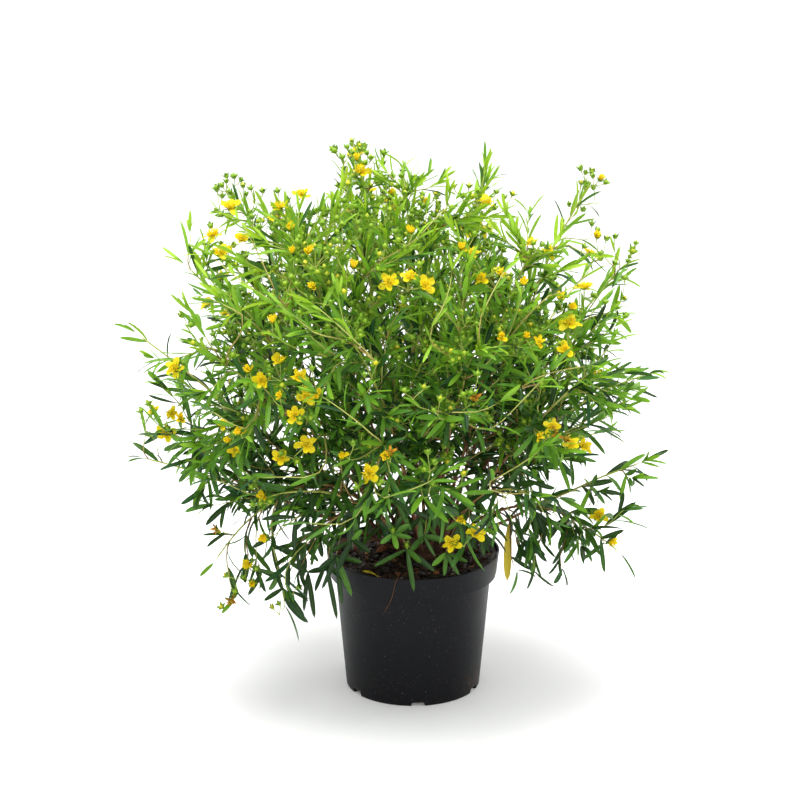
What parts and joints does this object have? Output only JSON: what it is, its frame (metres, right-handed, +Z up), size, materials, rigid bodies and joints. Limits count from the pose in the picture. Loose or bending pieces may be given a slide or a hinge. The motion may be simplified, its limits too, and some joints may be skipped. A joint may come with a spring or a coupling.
{
  "type": "potted gemo st johns wort",
  "caption": "Bushy St John's wort shrub in flower, with narrow green leaves and bright yellow blooms on thin woody stems, growing in a tapered black plastic nursery pot",
  "frame": {"origin": "centre of the pot's flat underside, where it stands on the ground", "axes": "+Z up, the pictured front faces -Y, +X to the right in the picture"},
  "size_m": [0.6107, 0.4696, 0.6071],
  "materials": {
    "pot": "satin",
    "compost": "matte",
    "bark": "matte",
    "foliage": "satin",
    "petals": "satin",
    "withered": "matte"
  },
  "bodies": {
    "root": {"pot": "pot", "compost": "compost", "root_crown": "bark", "leafy_stem_01": "foliage", "leafy_stem_02": "foliage", "leafy_stem_03": "foliage", "leafy_stem_04": "foliage", "leafy_stem_05": "foliage", "leafy_stem_06": "foliage", "leafy_stem_07": "foliage", "leafy_stem_08": "foliage", "leafy_stem_09": "foliage", "leafy_stem_10": "foliage", "leafy_stem_11": "foliage", "leafy_stem_12": "foliage", "leafy_stem_13": "foliage", "leafy_stem_14": "foliage", "leafy_stem_15": "foliage", "leafy_stem_16": "foliage", "leafy_stem_17": "foliage", "leafy_stem_18": "foliage", "leafy_stem_19": "foliage", "leafy_stem_20": "foliage", "leafy_stem_21": "foliage", "leafy_stem_22": "foliage", "leafy_stem_23": "foliage", "leafy_stem_24": "foliage", "leafy_stem_25": "foliage", "leafy_stem_26": "foliage", "leafy_stem_27": "foliage", "leafy_stem_28": "foliage", "leafy_stem_29": "foliage", "flowers_upper_left_top": "petals", "flowers_upper_left_pair": "petals", "flowers_upper_left_cluster": "petals", "flowers_top_cup": "petals", "flowers_front_cluster": "petals", "flowers_top_right_cup": "petals", "flowers_right_of_centre_trio": "petals", "flowers_upper_right_pair": "petals", "flowers_right_edge_back": "petals", "flowers_right_bright_pair": "petals", "flowers_left_edge": "petals", "flowers_left_edge_trio": "petals", "flowers_front_left_trio": "petals", "flowers_front_left_lower_pair": "petals", "flowers_lower_left_trio": "petals", "flowers_lower_front_pair": "petals", "flowers_low_centre": "petals", "flowers_right_low_yellow": "petals", "flowers_right_low_pair": "petals", "flowers_far_right_low": "petals", "flowers_over_the_rim_pair": "petals", "flowers_drooping_left": "petals", "flowers_back_upper": "petals", "flowers_back_right": "petals", "flowers_back_left": "petals", "fallen_leaf": "withered", "dry_twig": "bark", "yellowed_leaf": "withered"}
  },
  "joints": []
}
